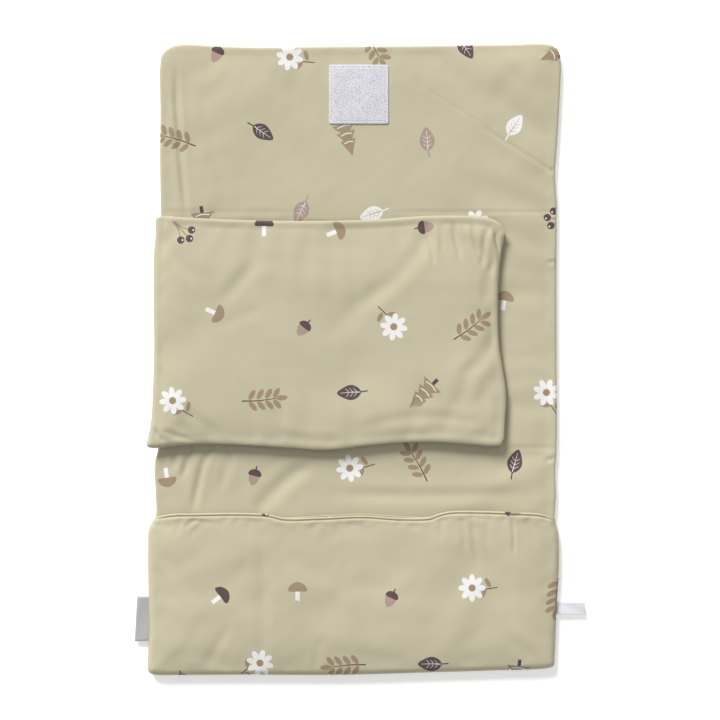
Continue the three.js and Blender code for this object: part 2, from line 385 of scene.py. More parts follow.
def tube(path, side, up, radii, sides=6):
    """A closed tube along a path with its own radius at each point."""
    angles = np.arange(sides) * 2 * math.pi / sides
    rings = (path[:, None]
             + np.cos(angles)[:, None] * side[:, None] * radii[:, None, None]
             + np.sin(angles)[:, None] * up[:, None] * radii[:, None, None])
    rings = np.concatenate([rings, rings[:, :1]], axis=1)
    return grid_cloth(rings[:, ::-1])


def make_piece(name, cloth, materials):
    """A Blender object from cloth in millimetres, smooth shaded, one material for each ink."""
    vertices, triangles, ink = cloth
    mesh = bpy.data.meshes.new(name)
    mesh.from_pydata((vertices * MM).tolist(), [], triangles.tolist())
    for material in materials:
        mesh.materials.append(material)
    mesh.polygons.foreach_set("material_index", ink.astype(np.int32))
    mesh.shade_smooth()
    mesh.validate()
    piece = bpy.data.objects.new(name, mesh)
    bpy.context.scene.collection.objects.link(piece)
    return piece


def placed(name, cloth, materials, body, slot, *stands_for):
    """A piece that rides one body, in place of some CAD nodes; its slot is not used."""
    piece = make_piece(name, cloth, materials)
    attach(piece, body)
    if stands_for:
        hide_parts(*stands_for)
    return piece


# -------- relief: undulation and creases

# A narrow crease's own mesh points: their step along it, and their lines across it in its widths
FINE_STEP = 2.4
FINE_LINES = (-2.6, -1.9, -1.2, -0.6, 0, 0.6, 1.2, 1.9, 2.6)
# Share of its length over which a crease fades in or out
CREASE_FADE = 0.35
# Cloth is simulated at this many units to the millimetre, a size at which the solver is steady
SIM_SCALE = 0.01
# A simulated sheet's form broader than this is left out, because the height functions make it
FOLD_BREADTH = 16


def waves(seed, longest, shortest, height, count=18):
    """A gentle seeded undulation of the plan: returns its height at each point."""
    random = np.random.default_rng(seed)
    lengths = np.exp(random.uniform(math.log(shortest), math.log(longest), count))
    turns = random.uniform(0, math.pi, count)
    phases = random.uniform(0, 2 * math.pi, count)
    directions = np.column_stack([np.cos(turns), np.sin(turns)]) * (2 * math.pi / lengths)[:, None]
    sizes = (lengths / longest) ** 0.8
    sizes *= height / math.sqrt((sizes ** 2).sum() / 2)

    def height_at(plan):
        return np.sin(plan @ directions.T + phases) @ sizes

    return height_at


class Crease:
    """A soft valley from start to end with low shoulders, bowed sideways; it fades at its ends."""

    def __init__(self, start, end, width, depth, bow=0):
        self.start = np.array(start, float)
        self.run = np.array(end, float) - self.start
        self.length = np.linalg.norm(self.run)
        self.run /= self.length
        self.side = np.array([-self.run[1], self.run[0]])
        self.width, self.depth, self.bow = width, depth, bow

    def __call__(self, plan):
        offset = plan - self.start
        along = offset @ self.run / self.length
        across = (offset @ self.side - self.bow * 4 * along * (1 - along)) / self.width
        share = smoothstep(along / CREASE_FADE + 0.5) * smoothstep((1 - along) / CREASE_FADE + 0.5)
        shoulders = bell(across - 1.9) + bell(across + 1.9)
        return self.depth * share * (0.38 * shoulders - bell(across))

    def points(self):
        """Plan points in lines along the crease, closer together than the cloth's own grid."""
        along = np.linspace(-0.12, 1.12, int(1.24 * self.length / FINE_STEP) + 2)[:, None]
        spine = self.start + along * self.length * self.run
        spine = spine + self.side * self.bow * 4 * along * (1 - along)
        return np.vstack([spine + self.side * self.width * share for share in FINE_LINES])


def total(parts, plan):
    """The sum of several reliefs."""
    return sum(part(plan) for part in parts)


def blurred(grid, cells):
    """A grid of heights smoothed over a number of cells."""
    reach = int(3 * cells) + 1
    weights = np.exp(-0.5 * (np.arange(-reach, reach + 1) / cells) ** 2)
    weights /= weights.sum()
    for axis in (0, 1):
        grid = np.apply_along_axis(
            lambda line: np.convolve(np.pad(line, reach, "edge"), weights, "valid"), axis, grid)
    return grid


def sampled(grid, low, pitch, plan):
    """Heights of a grid at plan points, smoothly interpolated (Catmull-Rom)."""
    place = (plan - low) / pitch
    cell = np.clip(np.floor(place).astype(int), 1, np.array(grid.shape[::-1]) - 3)
    t = place - cell
    weights = [
        -t + 2 * t ** 2 - t ** 3,
        2 - 5 * t ** 2 + 3 * t ** 3,
        t + 4 * t ** 2 - 3 * t ** 3,
        t ** 3 - t ** 2,
    ]
    heights = np.zeros(len(plan))
    for row in range(4):
        for column in range(4):
            share = weights[column][:, 0] * weights[row][:, 1] / 4
            heights += share * grid[cell[:, 1] + row - 1, cell[:, 0] + column - 1]
    return heights


def simulated_folds(outline, pitch, slack, pressure, seed, frames=20):
    """Folds by cloth simulation: a sheet sewn all round, a little too large for its frame, swells.

    Returns the fine part of its shape as heights at plan points, its steepest folds about 1 high."""
    scene = bpy.context.scene
    low = outline.min(0) - 2 * pitch
    counts = np.ceil((outline.max(0) - low) / pitch).astype(int) + 3
    columns, rows = (np.arange(count) * pitch + start for count, start in zip(counts, low))
    plan = np.stack(np.meshgrid(columns, rows), -1).reshape(-1, 2)
    sewn = ~(inside(plan, outline) & (nearest(plan, outline)[0] > 0.5 * pitch))
    start = np.random.default_rng(seed).normal(0, 0.002, len(plan))
    index = np.arange(len(plan)).reshape(len(rows), len(columns))
    corners = (index[:-1, :-1], index[:-1, 1:], index[1:, 1:], index[1:, :-1])
    mesh = bpy.data.meshes.new("folding_sheet")
    mesh.from_pydata(np.column_stack([plan * SIM_SCALE, start]).tolist(), [],
                     np.stack(corners, -1).reshape(-1, 4).tolist())
    sheet = bpy.data.objects.new("folding_sheet", mesh)
    scene.collection.objects.link(sheet)
    sheet.vertex_groups.new(name="sewn").add(np.nonzero(sewn)[0].tolist(), 1, "REPLACE")
    cloth = sheet.modifiers.new("Cloth", "CLOTH")
    settings = cloth.settings
    settings.quality = 6
    settings.mass = 0.15
    settings.bending_stiffness = 1.2
    settings.vertex_group_mass = "sewn"
    settings.shrink_min = -slack
    settings.shrink_max = -slack
    settings.effector_weights.gravity = 0
    settings.use_pressure = True
    settings.uniform_pressure_force = pressure
    cloth.collision_settings.use_collision = False
    cloth.point_cache.frame_start = 1
    cloth.point_cache.frame_end = frames
    for number in range(1, frames + 1):
        scene.frame_set(number)
    swollen = sheet.evaluated_get(bpy.context.evaluated_depsgraph_get()).to_mesh()
    places = np.empty(len(plan) * 3, np.float32)
    swollen.vertices.foreach_get("co", places)
    heights = places[2::3].reshape(index.shape).astype(float) / SIM_SCALE
    bpy.data.objects.remove(sheet)
    bpy.data.meshes.remove(mesh)
    scene.frame_set(1)
    folds = blurred(heights, 0.7) - blurred(heights, FOLD_BREADTH / pitch)
    folds *= blurred((~sewn).reshape(index.shape).astype(float), 0.8)
    folds /= np.percentile(np.abs(folds), 98)
    return lambda points: sampled(np.clip(folds, -1.6, 1.6), low, pitch, points)


# -------- the print: plain plants, scattered

FABRIC, DARK, TAN, WHITE, TAUPE = range(5)


def turned(shape, degrees):
    """A shape turned about the origin."""
    a = math.radians(degrees)
    return shape @ np.array([[math.cos(a), math.sin(a)], [-math.sin(a), math.cos(a)]])


def disc(x, y, half_width, half_height=None, count=16):
    """An ellipse."""
    angles = np.arange(count) * 2 * math.pi / count
    height = half_height or half_width
    return np.column_stack([x + np.cos(angles) * half_width, y + np.sin(angles) * height])


def blob(*points):
    """A closed smooth shape through a few points."""
    return spline(points, 0.8, closed=True)[:-1]


def even(*half):
    """Points from the left to the middle, and their mirror images on to the right."""
    return [*half, *((-x, y) for x, y in half[::-1] if x)]


def strip(points, width, tip=0.5):
    """A brush stroke along a smooth line, narrowing to a share of its width at the end."""
    line = spline(points, 1.2)
    half = width / 2 * np.linspace(1, tip, len(line))[:, None] * left_of(line)
    return np.vstack([line - half, (line + half)[::-1]])


def leaf(ink=DARK, vein=WHITE):
    """A plain oval leaf with a stalk, a midrib and side veins."""
    return [
        (ink, strip([(0.8, -15), (0.3, -11), (0, -7)], 1.2, 1)),
        (ink, blob(*even((-4.2, -6.4), (-6.8, -0.4), (-4.6, 6.8), (0, 12.6)), (0, -9))),
        (vein, strip([(0, -8), (0.2, 0), (0, 9.6)], 0.7, 0.4)),
        *((vein, strip([(side * 0.6, y), (side * 2.2, y + 1.1), (side * 3.8, y + 2.8)], 0.45, 0.5))
          for y in (-5, -1.4, 2.2) for side in (-1, 1)),
    ]


def sprig(ink=TAN):
    """A twig with pairs of small leaves, and one at its tip."""
    shapes = [(DARK, strip([(0, -19), (0.8, -4), (0, 13)], 1.2, 0.5)), (ink, disc(0, 17, 2.5, 5.2))]
    for y in (-13, -5.5, 2, 9):
        for lean in (-55, 55):
            shapes.append((ink, turned(disc(0, 6.2, 2.3, 5), lean) + (0.3, y)))
    return shapes


def daisy(heart=DARK):
    """A flower of eight white petals, on a stem with two leaves."""
    shapes = [(DARK, strip([(0, 0), (-1.2, -11), (0.4, -23)], 1.1, 0.8))]
    for lean, y in ((-62, -17), (58, -13)):
        shapes.append((TAN, turned(disc(0, 6, 2, 4.6), lean) + (-0.6, y)))
    petals = [turned(disc(0, 7.6, 2.7, 4.8), angle) for angle in range(0, 360, 45)]
    return shapes + [(WHITE, petal) for petal in petals] + [(heart, disc(0, 0, 3.2))]


def fir():
    """A fir tree of three tiers, each with a white line."""
    shapes = [(DARK, np.array([(-1.6, -19), (1.6, -19), (1.6, -12), (-1.6, -12)]))]
    for base, half, top in ((-13, 10.5, 0), (-5.5, 8.8, 8), (2, 7, 17)):
        shapes.append((TAN, np.array([(-half, base), (half, base), (0, top)])))
        line = [(half * -0.6, base + 2.6), (0, base + 1.6), (half * 0.6, base + 2.6)]
        shapes.append((WHITE, strip(line, 0.8, 1)))
    return shapes


def berries():
    """Three dark berries on a forked twig."""
    ends = ((-6.6, 5), (0, 9.4), (6.6, 5))
    return [
        *((TAN, strip([(0, -12), (x * 0.3, -3), (x, y)], 1.3, 0.8)) for x, y in ends),
        *((DARK, disc(x, y, 3.4)) for x, y in ends),
        *((WHITE, disc(x - 1.1, y + 1.1, 0.8, count=8)) for x, y in ends),
    ]


def toadstool(cap=DARK):
    """A half-round cap on a straight white stem."""
    return [
        (WHITE, strip([(0, 1), (0, -4), (0, -9.5)], 3.8, 1)),
        (cap, blob(*even((-8.4, 0.2), (-6.6, 5.2), (0, 8.2)), (0, -0.4))),
    ]


def acorn():
    """A plain acorn, its cup up."""
    return [
        (DARK, strip([(0, 4), (0, 6.4), (0, 8.6)], 1.4, 0.8)),
        (TAUPE, blob(*even((-4.9, 0), (-3.7, -5.8), (0, -9.4)), (0, 1.6))),
        (DARK, blob(*even((-6, 0.2), (-4.5, 4), (0, 5.6)), (0, -0.6))),
    ]


def printed(rows):
    """Print shapes in their places: rows of (motif, x, y, direction its top points to, in degrees)."""
    shapes = []
    for motif, x, y, up in rows:
        shapes += [(ink, turned(shape, up - 90) + (x, y)) for ink, shape in motif]
    return shapes


def scattered(seed, left, right, low, high, pitch=76):
    """Rows of print over one piece of cloth: a loose stagger, each motif turned at random."""
    random = np.random.default_rng(seed)
    motifs = [leaf(), daisy(), acorn(), fir(), berries(), daisy(TAN), leaf(TAUPE), toadstool(),
              sprig(), leaf(WHITE, TAN), toadstool(TAN)]
    rows = []
    for step_y in range(int((high - low) / pitch) + 1):
        for step_x in range(int((right - left) / pitch) + 1):
            x = left + (step_x + 0.5 * (step_y % 2)) * pitch + random.uniform(-9, 9)
            y = low + step_y * pitch + random.uniform(-9, 9)
            motif = motifs[(step_x * 3 + step_y * 5 + seed) % len(motifs)]
            if x < right:
                rows.append((motif, x, y, random.uniform(0, 360)))
    return rows


def clear_of(rows, line, reach):
    """Those rows of print whose origins stay clear of a line across the pad."""
    return [row for row in rows if abs(row[2] - line) > reach]


PAD_PRINT = scattered(44, -170, 190, -252, 285)
POUCH_PRINT = scattered(49, -165, 130, -38, 125)
POCKET_PRINT = scattered(46, -168, 190, -280, -125)

# -------- materials


def set_inputs(node, **values):
    """Plain values on a node's sockets, with _ for each space in a socket's name."""
    for socket, value in values.items():
        node.inputs[socket.replace("_", " ")].default_value = value


class Shading:
    """A new material's nodes, and the ones that cloth needs."""

    def __init__(self, name):
        self.material = bpy.data.materials.new(name)
        self.material.use_nodes = True
        self.nodes = self.material.node_tree.nodes
        self.link = self.material.node_tree.links.new
        self.shader = self.nodes["Principled BSDF"]

    def node(self, kind, **values):
        """A node with plain values on its sockets."""
        node = self.nodes.new("ShaderNode" + kind)
        set_inputs(node, **values)
        return node

    def texture(self, kind, place, **values):
        """A texture over the object's own coordinates."""
        texture = self.node("Tex" + kind, **values)
        self.link(place.outputs["Object"], texture.inputs["Vector"])
        return texture

    def ribs(self, place, axis, pitch):
        """Ribs a pitch apart, in metres, along one axis."""
        texture = self.texture("Wave", place, Scale=2 * math.pi / (20 * pitch), Distortion=0.4, Detail=1)
        texture.bands_direction = axis
        return texture

    def ramp(self, texture, dark, light, low=0.3, high=0.7):
        """A colour ramp over a texture's value."""
        ramp = self.node("ValToRGB")
        for stop, place, colour in zip(ramp.color_ramp.elements, (low, high), (dark, light)):
            stop.position = place
            stop.color = (*colour, 1)
        self.link(texture.outputs["Fac"], ramp.inputs["Fac"])
        return ramp.outputs["Color"]

    def product(self, first, second):
        """Two colours multiplied."""
        mix = self.node("Mix")
        mix.data_type = "RGBA"
        mix.blend_type = "MULTIPLY"
        mix.inputs[0].default_value = 1
        self.link(first, mix.inputs[6])
        self.link(second, mix.inputs[7])
        return mix.outputs[2]

    def bump(self, layers):
        """Bump from (texture, strength, distance in metres) layers, one over the other."""
        below = None
        for texture, strength, distance in layers:
            bump = self.node("Bump", Strength=strength, Distance=distance)
            self.link(texture.outputs["Fac"], bump.inputs["Height"])
            if below:
                self.link(below.outputs["Normal"], bump.inputs["Normal"])
            below = bump
        self.link(below.outputs["Normal"], self.shader.inputs["Normal"])


def tinted(colour, share):
    """A colour made lighter or darker by a share."""
    return tuple(min(1.0, channel * share) for channel in colour)


def cloth_material(name, colour, roughness=0.7, sheen=0.04, rib=0.00055, rib_depth=0.00003,
                   mottle=0.025, grain=0.03):
    """Woven cloth: ribs both ways, a fine grain, and slow drifts of colour and gloss."""
    cloth = Shading(name)
    place = cloth.node("TexCoord")
    slow = cloth.texture("Noise", place, Scale=9, Detail=2, Roughness=0.55)
    fine = cloth.texture("Noise", place, Scale=1400, Detail=2, Roughness=0.7)
    drift = cloth.ramp(slow, tinted(colour, 1 - mottle), tinted(colour, 1 + mottle))
    speck = cloth.ramp(fine, (1 - 2 * grain,) * 3, (1, 1, 1), 0.35, 0.65)
    cloth.link(cloth.product(drift, speck), cloth.shader.inputs["Base Color"])
    gloss = cloth.node("MapRange", To_Min=roughness - 0.05, To_Max=roughness + 0.05)
    cloth.link(slow.outputs["Fac"], gloss.inputs["Value"])
    cloth.link(gloss.outputs["Result"], cloth.shader.inputs["Roughness"])
    cloth.bump([
        (cloth.ribs(place, "X", rib), 0.5, rib_depth),
        (cloth.ribs(place, "Y", rib * 0.8), 0.5, rib_depth),
        (fine, 0.4, rib_depth * 1.6),
    ])
    set_inputs(cloth.shader, Specular_IOR_Level=0.25, Sheen_Weight=sheen, Sheen_Roughness=0.45,
               Sheen_Tint=(1.0, 0.98, 0.92, 1))
    return cloth.material


CLOTH = [
    cloth_material("coated_cloth", (0.505, 0.466, 0.327)),
    cloth_material("print_dark", (0.095, 0.066, 0.062), 0.55),
    cloth_material("print_tan", (0.325, 0.250, 0.158), 0.55),
    cloth_material("print_white", (0.80, 0.79, 0.77), 0.55),
    cloth_material("print_taupe", (0.385, 0.285, 0.240), 0.55),
]
FOAM = cloth_material("padding", (0.80, 0.78, 0.73), 0.9, 0.3, 0.0018, 0.0002)
LOOP_TAPE = cloth_material("loop_tape", (0.69, 0.685, 0.735), 0.85, 0.2, 0.0011, 0.00006, 0.02, 0.08)
HOOK_TAPE = cloth_material("hook_tape", (0.55, 0.55, 0.58), 0.5, 0.1, 0.0016, 0.00012, 0.03, 0.05)
THREAD = cloth_material("sewing_thread", (0.55, 0.51, 0.36), 0.55, 0.2, 0.0004, 0.00006)
PALE_THREAD = cloth_material("pale_thread", (0.84, 0.83, 0.87), 0.5, 0.1, 0.0004, 0.00006)
RIBBON = cloth_material("woven_ribbon", (0.425, 0.435, 0.425), 0.6, 0.2, 0.0006, 0.00008, 0.02, 0.05)
SATIN = cloth_material("satin_ribbon", (0.73, 0.72, 0.765), 0.34, 0.3, 0.00035, 0.00003, 0.02, 0.02)

# -------- the pad: cover and padding

# Highest and lowest faces of the cover, and how far in from the seam it rolls over
PAD_CROWN = PAD_HIGH[2] + 0.3
PAD_FLOOR = PAD_LOW[2] + 0.15
PAD_ROLL = 2.7
# Lines of mesh points beside the pad's seam, and the step between those across a fold
PAD_INSETS = (0.25, 0.7, 1.3, 2.1, 3.2, 4.6, 6.6, 9, 12)
FOLD_STEP = 1.75
# The back's print stays this far from the folds, and all print this far from the split
BACK_FOLD_MARGIN = 36
SPLIT_MARGIN = 24

pad_line = spline(PAD_OUTLINE, 2.4, closed=True)
pouch_sewn = spline(POUCH_SEWN, 2.2)
pouch_mouth = spline(POUCH_MOUTH, 2.2)
pouch_line = np.vstack([pouch_sewn[:-1], pouch_mouth])

pad_front_relief = [
    Crease((-165.5, 252), (-156.8, 138), 2.7, 1.45, -1.4),
    Crease((-143, 238), (-122, 148), 5.0, 0.4),
    Crease((56, 246), (120, 206), 1.5, 0.12),
    Crease((112, 208), (176, 168), 1.8, 0.3),
    Crease((-110, 275), (-60, 240), 9, 0.3),
    Crease((150, 268), (120, 232), 8, 0.3),
    Crease((40, TOP_FOLD), (195, TOP_FOLD), 1.8, 0.22),
    Crease((-195, TOP_FOLD), (-60, TOP_FOLD), 2.4, 0.2),
    Crease((90, BOTTOM_FOLD), (195, BOTTOM_FOLD), 2.2, 0.25),
    Crease((-170, -74), (-167, -95), 2.4, 0.9),
    Crease((-153, -74), (-159, -104), 2.8, 1.15, 0.8),
    Crease((-135, -76), (-149, -130), 3.0, 1.2, -1.5),
    Crease((-117, -78), (-126, -116), 3.6, 0.8, 1.0),
    Crease((-50, -96), (-92, -134), 6.0, 1.3, -2),
    Crease((-12, -121), (134, -120), 4.8, 0.85, -1.5),
    Crease((150, -82), (120, -104), 6, 0.35),
    Crease((172, 172), (182, 165), 2.4, 0.9),
    Crease((170, 88), (184, 88), 2.0, 0.7),
    Crease((168, -90), (184, -88), 2.2, 0.8),
]
pad_front_waves = [waves(11, 150, 38, 0.30), waves(12, 30, 14, 0.05)]
pad_back_waves = [waves(21, 140, 40, 0.12)]
rim_puckers = waves(31, 26, 9, 0.35, 12)
pad_folds = simulated_folds(pad_line, 6.0, 0.012, 0.5, 32)


def off_split(plan):
    """0 along the line where the cover's two lengths meet, 1 away from it."""
    return smoothstep((np.abs(plan[:, 1] - COVER_SPLIT) - 3) / 20)


def pad_front_height(plan):
    """The front cover: rolled edges, soft undulation and creases."""
    distance = nearest(plan, pad_line)[0]
    settled = smoothstep(distance / 18) * off_split(plan)
    in_open = 1 - inside(plan, pouch_line) * 0.75
    relief = total(pad_front_waves, plan) * settled * in_open
    relief += total(pad_front_relief, plan) * smoothstep(distance / 5 + 0.2)
    relief += rim_puckers(plan) * bell((distance - 6) / 5) * 0.25
    beside_crease = bell((plan[:, 0] + 158) / 17) * smoothstep((plan[:, 1] - 115) / 25)
    relief += 0.8 * pad_folds(plan) * off_split(plan) * in_open * (1 - 0.85 * beside_crease)
    relief -= 0.3 * bell((distance - 2.6) / 1.1)
    crown = PAD_CROWN - 0.35 * (1 - smoothstep(distance / 40))
    # Between the pouch and the pocket the cloth stands a little off the padding
    tent = smoothstep((plan[:, 1] + 104) / 26) * (1 - smoothstep((plan[:, 1] + 70) / 30))
    crown = crown + 1.4 * tent * smoothstep((150 - np.abs(plan[:, 0] + 26)) / 50)
    return PAD_SEAM + (crown - PAD_SEAM) * roll(distance, PAD_ROLL) + relief * roll(distance, 9)


def hook_dimple(plan):
    """The cover dips in round the hook patch on its outside, so the patch lies flush."""
    low, high = node_box("hook_patch")
    centre, half = (low + high)[:2] / 2, (high - low)[:2] / 2
    reach = (np.abs(plan - centre) - half).max(1)
    return 1.25 * smoothstep(-(reach - 6) / 5)


def pad_back_height(plan):
    """The back cover: almost flat on the floor, rolled up to the seam."""
    distance = nearest(plan, pad_line)[0]
    relief = np.abs(total(pad_back_waves, plan)) * (smoothstep(distance / 18) * off_split(plan))
    relief += hook_dimple(plan)
    return PAD_SEAM - (PAD_SEAM - PAD_FLOOR) * roll(distance, PAD_ROLL) + relief


def unbroken(line, keep):
    """The one run of a closed line's points that keep picks."""
    first = np.nonzero(keep & ~np.roll(keep, 1))[0][0]
    return np.roll(line, -first, 0)[:keep.sum()]


def tucked(cloth, rim, level, depth=0.8, ripples=(2.9, 7.3), phase=0, measured_on=None):
    """Cloth whose rim is set to the seam's level and pulled in a little, as a turned seam pulls it."""
    vertices = cloth[0]
    sewn = np.nonzero(nearest(vertices[:, :2], rim)[0] < 1e-3)[0]
    plan = vertices[sewn, :2]
    along = nearest(plan, rim if measured_on is None else measured_on)[1]
    fine, broad = ripples
    pull = depth + 0.25 * np.sin(along / fine + phase) + 0.2 * np.sin(along / broad)
    slot = np.abs(plan[:, None] - rim).sum(2).argmin(1)
    vertices[sewn, 2] = level(plan)
    vertices[sewn, :2] += left_of(rim)[slot] * pull[:, None]
    return cloth


def pad_part(name, above, seed):
    """One of the cover's two lengths: a closed pillow, with close rows of mesh points across one fold."""
    rim = unbroken(pad_line[:-1], (pad_line[:-1, 1] > COVER_SPLIT) == above)
    ends = rim[[0, -1]].copy()
    ends[:, 1] = COVER_SPLIT
    rim = np.vstack([ends[:1], rim, ends[1:]])
    width = ends[1, 0] - ends[0, 0]
    steps = np.array([0, *PAD_INSETS, *np.arange(PAD_INSETS[-1] + 4, abs(width) / 2, 4)]) * np.sign(width)
    cut = level_line(np.concatenate([ends[1, 0] - steps, ends[0, 0] + steps[::-1]]), COVER_SPLIT)
    fold = TOP_FOLD if above else BOTTOM_FOLD
    rows = [level_line(np.arange(-178, 176, 5.0), fold + offset)
            for offset in np.arange(-FOLD_REACH, FOLD_REACH + 0.1, FOLD_STEP)]
    front_rows = clear_of(PAD_PRINT, COVER_SPLIT, SPLIT_MARGIN)
    back_rows = clear_of(scattered(seed, -150, 160, -250, 260), COVER_SPLIT, SPLIT_MARGIN)
    back_rows = clear_of(back_rows, fold, BACK_FOLD_MARGIN)
    sides = []
    for print_rows, height, fine in ((front_rows, pad_front_height, pad_front_relief),
                                     (back_rows, pad_back_height, ())):
        flat = cut_cloth(rim, cut, PAD_INSETS, 3.6, rows, printed(print_rows), fine)
        plan, triangles, ink = flat
        middle = plan[triangles].mean(1)
        # Print would stretch where the rim's wall bends
        wall = nearest(middle, rim)[0] < PAD_INSETS[2]
        ink[wall & (np.abs(middle[:, 1] - fold) < FOLD_REACH + 6)] = FABRIC
        sides.append(tucked(lift(flat, height), rim, lambda plan: PAD_SEAM, ripples=(3.1, 7.7),
                            measured_on=pad_line))
    piece = make_piece(name, joined(sides[0], flipped(sides[1])), CLOTH)
    start, end = ((0, (fold + reach) * MM, 0) for reach in (-FOLD_REACH, FOLD_REACH))
    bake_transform(piece)
    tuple(start)
    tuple(end)
    return piece


cover_top = pad_part("pad_cover_top", True, 51)
cover_bottom = pad_part("pad_cover_bottom", False, 52)
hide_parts("top_flap_front_cover", "top_flap_back_cover")
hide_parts("bottom_flap_front_cover", "bottom_flap_back_cover",
            "middle_panel_front_cover", "middle_panel_back_cover")

# The padding ends this far from a fold, and stays this far inside the cover's two faces
FOAM_CLEAR = FOLD_REACH + 3
FOAM_GAP = 1.6
DEEPEST_CREASE = 3.6


def foam_insert(panel, low_y, high_y):
    """A soft slab of padding inside one panel, clear of the sewn edge."""
    xs = pad_line[(pad_line[:, 1] > low_y - 6) & (pad_line[:, 1] < high_y + 6), 0]
    left, right = xs[xs < -150].max() + 10, xs[xs > 150].min() - 10
    corners = [(left + 6, low_y), (right - 6, low_y), (right, low_y + 6), (right, high_y - 6),
               (right - 6, high_y), (left + 6, high_y), (left, high_y - 6), (left, low_y + 6)]
    rim = spline(corners, 6, closed=True)
    flat = cut_cloth(rim, None, (1, 2.4, 4), 14)

    def top(plan):
        return PAD_SEAM + (PAD_CROWN - DEEPEST_CREASE - PAD_SEAM) * roll(nearest(plan, rim)[0], 4)

    def under(plan):
        return PAD_SEAM - (PAD_SEAM - PAD_FLOOR - FOAM_GAP) * roll(nearest(plan, rim)[0], 4)

    slab = joined(lift(flat, top), flipped(lift(flat, under)))
    piece = placed(f"{panel}_padding", slab, [FOAM], panel, "foam", f"{panel}_foam")


foam_insert("middle_panel", BOTTOM_FOLD + FOAM_CLEAR, TOP_FOLD - FOAM_CLEAR)
foam_insert("top_flap", TOP_FOLD + FOAM_CLEAR, PAD_OUTLINE[0][1] - 13)
foam_insert("bottom_flap", -266, BOTTOM_FOLD - FOAM_CLEAR)

# -------- the fold-out pouch

POUCH_CROWN = POUCH_HIGH[2] + 2.1
EDGE_INSETS = (0.3, 0.9, 1.9, 3.3, 5, 7, 9.5, 12.5)
pouch_relief = [
    Crease((64, 120), (4, 52), 6.5, 0.95, 7),
    Crease((34, 96), (-24, 26), 8.0, 0.5, 3),
    Crease((58, 121), (66, 88), 2.4, 0.8, 1.0),
    Crease((72, 120), (74, 100), 2.2, 0.5),
    Crease((84, 121), (90, 92), 2.2, 0.9, -1.0),
    Crease((100, 120), (106, 96), 2.2, 0.9),
    Crease((114, 117), (110, 84), 2.6, 0.9, -1.5),
    Crease((120.6, 114), (126, 84), 1.9, 1.7, 1.0),
    Crease((118, 86), (112, 52), 3.4, 0.6, -2),
    Crease((123, 38), (97, -12), 6.0, 0.95, 6),
    Crease((98, -4), (95, -52), 6.0, 0.6, -4),
    Crease((4, -60), (104, -58), 4.4, 0.5, 8),
    Crease((62, -62), (122, -70), 3.4, 0.4, 2),
    Crease((-155, -46), (-130, -66), 4.4, 0.7),
    Crease((-176, -64), (-150, -73), 2.6, 0.8),
    Crease((-188, -60), (-176, -72), 2.4, 0.7),
    Crease((-96, 84), (-123, 54), 5.5, 0.7),
    Crease((-92, 44), (-128, 30), 5.0, 0.35),
    Crease((-181, 113), (-150, 74), 5.0, 0.55),
    Crease((-182, -8), (-168, -52), 4.0, 0.5, 3),
    Crease((-70, -66), (-20, -71), 3.4, 0.5, -2),
    Crease((-40, 30), (30, -30), 11.0, 0.35),
]
pouch_waves = [waves(71, 140, 45, 0.42), waves(72, 34, 15, 0.06)]
pouch_puckers = waves(73, 34, 12, 0.5, 12)
pouch_folds = simulated_folds(pouch_line, 4.5, 0.02, 0.8, 74)


def pouch_seam(plan):
    """Height of the pouch's sewn edge: it lifts off the pad along its lower side."""
    lift_off = smoothstep((-plan[:, 1] - 20) / 50) * smoothstep((plan[:, 0] + 178) / 50)
    return POUCH_SEAM + 3.0 * lift_off


def pillowed(distance, rolled, roll_width, arch_width):
    """Height share of a slack wall: part of it rolls over at the seam, the rest arches on inward."""
    arch = np.sin(np.clip(distance / arch_width, 0, 1) * math.pi / 2)
    return rolled * roll(distance, roll_width) + (1 - rolled) * arch


def pouch_front_height(plan):
    """The pouch's front wall: rolled at its sewn edges, slack in the middle, free at its mouth."""
    sewn = nearest(plan, pouch_sewn)[0]
    mouth = nearest(plan, pouch_mouth)[0]
    x, y = plan.T
    free = smoothstep(sewn / 16)
    # A low ridge and a groove run beside the seam, and fade at the lower edge
    ridge = 0.16 * bell((sewn - 3.4) / 1.3) - 0.3 * bell((sewn - 7.5) / 2.4)
    relief = total(pouch_waves, plan) * free * smoothstep(mouth / 14 + 0.25)
    relief += ridge * (0.25 + 0.75 * smoothstep((y + 74) / 10))
    relief += total(pouch_relief, plan) * smoothstep(sewn / 6 + 0.15)
    relief += pouch_puckers(plan) * bell((sewn - 6) / 5) * 0.2
    relief += 0.75 * pouch_folds(plan) * smoothstep(mouth / 8)
    # The hem shows as a ridge and a groove along the mouth, stronger to the right
    uneven = 0.55 + 0.45 * smoothstep((x + 40) / 120) + 0.25 * pouch_puckers(plan * 0.4)
    hem = uneven * (0.2 * bell((mouth - 3) / 3) - 0.28 * bell((mouth - 7.6) / 2.8))
    edge = -0.7 * (1 - smoothstep(mouth / 1.6))
    # The wall sags in the middle and towards the mouth
    sag = 0.9 * np.exp(-((x + 25) / 85) ** 2 - ((y - 20) / 60) ** 2) + 1.5 * smoothstep((y - 60) / 60)
    seam = pouch_seam(plan)
    height = seam + (POUCH_CROWN - seam - sag) * pillowed(sewn, 0.62, 5.5, 34)
    return height + relief * roll(sewn, 9) + (hem + edge) * free


def pouch_back_height(plan):
    """The pouch's back wall: flat on the pad, rolled up to the seam."""
    sewn = nearest(plan, pouch_sewn)[0]
    base = POUCH_LOW[2] + CLOTH_THICKNESS + 0.15
    return pouch_seam(plan) - (pouch_seam(plan) - base) * roll(sewn, 9)


